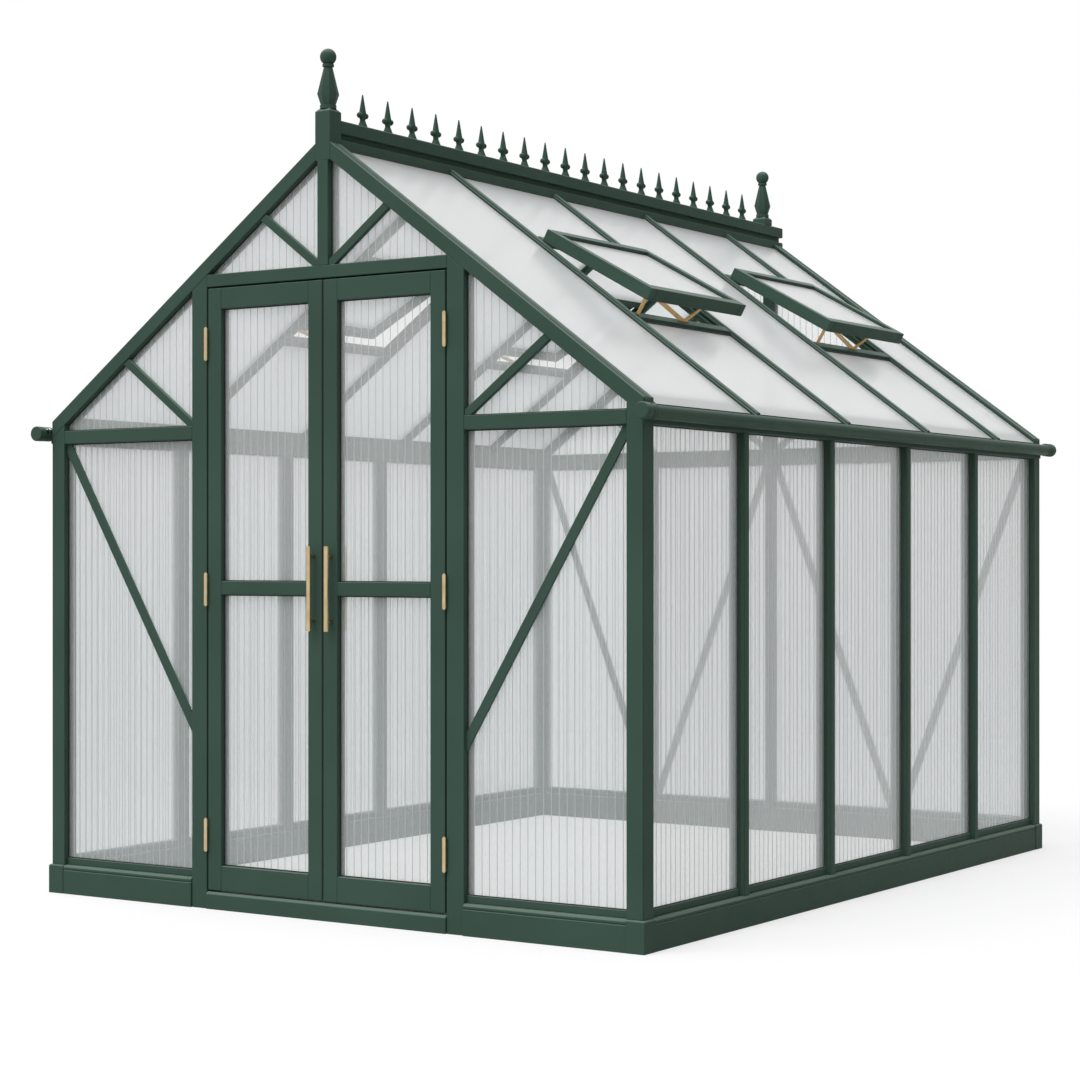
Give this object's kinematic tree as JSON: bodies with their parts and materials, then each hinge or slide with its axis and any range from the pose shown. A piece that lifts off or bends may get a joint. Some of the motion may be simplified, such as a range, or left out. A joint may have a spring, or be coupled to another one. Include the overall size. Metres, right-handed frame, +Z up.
{
  "type": "polycarbonate greenhouse",
  "caption": "Gabled walk-in greenhouse of dark green painted frame and twin-wall sheets, with outward opening double doors, open roof vents, gutters, ridge cresting and finials.",
  "frame": {"origin": "centre of the plan on the ground", "axes": "+Z up, +Y from the door gable to the rear gable, +X to the right seen from the doors"},
  "size_m": [2.528, 3.22, 2.832],
  "materials": {
    "frame_paint": "satin dark green powder coat",
    "brass": "satin brass",
    "sheet": "translucent twin-wall polycarbonate with vertical ribs"
  },
  "bodies": {
    "greenhouse_frame": {"base_corner_boots": "frame_paint", "corner_posts": "frame_paint", "door_head": "frame_paint", "door_jambs": "frame_paint", "door_sill": "frame_paint", "door_stops": "frame_paint", "eave_beams": "frame_paint", "end_base_skirts": "frame_paint", "end_glazing_rails": "frame_paint", "end_wall_panels": "sheet", "finials": "frame_paint", "front_mid_rails": "frame_paint", "gable_panels": "sheet", "gable_rafters": "frame_paint", "gable_struts": "frame_paint", "gutter_end_caps": "frame_paint", "gutters": "frame_paint", "jamb_hinges": "brass", "king_posts": "frame_paint", "rear_eave_rail": "frame_paint", "rear_wall_bars": "frame_paint", "ridge_beam": "frame_paint", "ridge_cresting": "frame_paint", "roof_bars": "frame_paint", "roof_panels": "sheet", "side_base_skirts": "frame_paint", "side_glazing_rails": "frame_paint", "side_wall_bars": "frame_paint", "side_wall_panels": "sheet", "vent_curbs": "frame_paint", "vent_panels": "sheet", "vent_rails": "frame_paint", "vent_stays": "brass", "vent_stiles": "frame_paint", "wall_braces": "frame_paint"},
    "left_door": {"left_door_handles": "brass", "left_door_hinges": "brass", "left_door_panels": "sheet", "left_door_rails": "frame_paint", "left_door_stiles": "frame_paint"},
    "right_door": {"right_door_handles": "brass", "right_door_hinges": "brass", "right_door_panels": "sheet", "right_door_rails": "frame_paint", "right_door_stiles": "frame_paint"}
  },
  "joints": [
    {"name": "left_door_hinge", "type": "hinge", "parent": "greenhouse_frame", "child": "left_door", "pos_m": [-0.492, -1.5615, 1.071], "axis": [0, 0, -1], "range_deg": [0, 160]},
    {"name": "right_door_hinge", "type": "hinge", "parent": "greenhouse_frame", "child": "right_door", "pos_m": [0.492, -1.5615, 1.071], "axis": [0, 0, 1], "range_deg": [0, 160]}
  ]
}
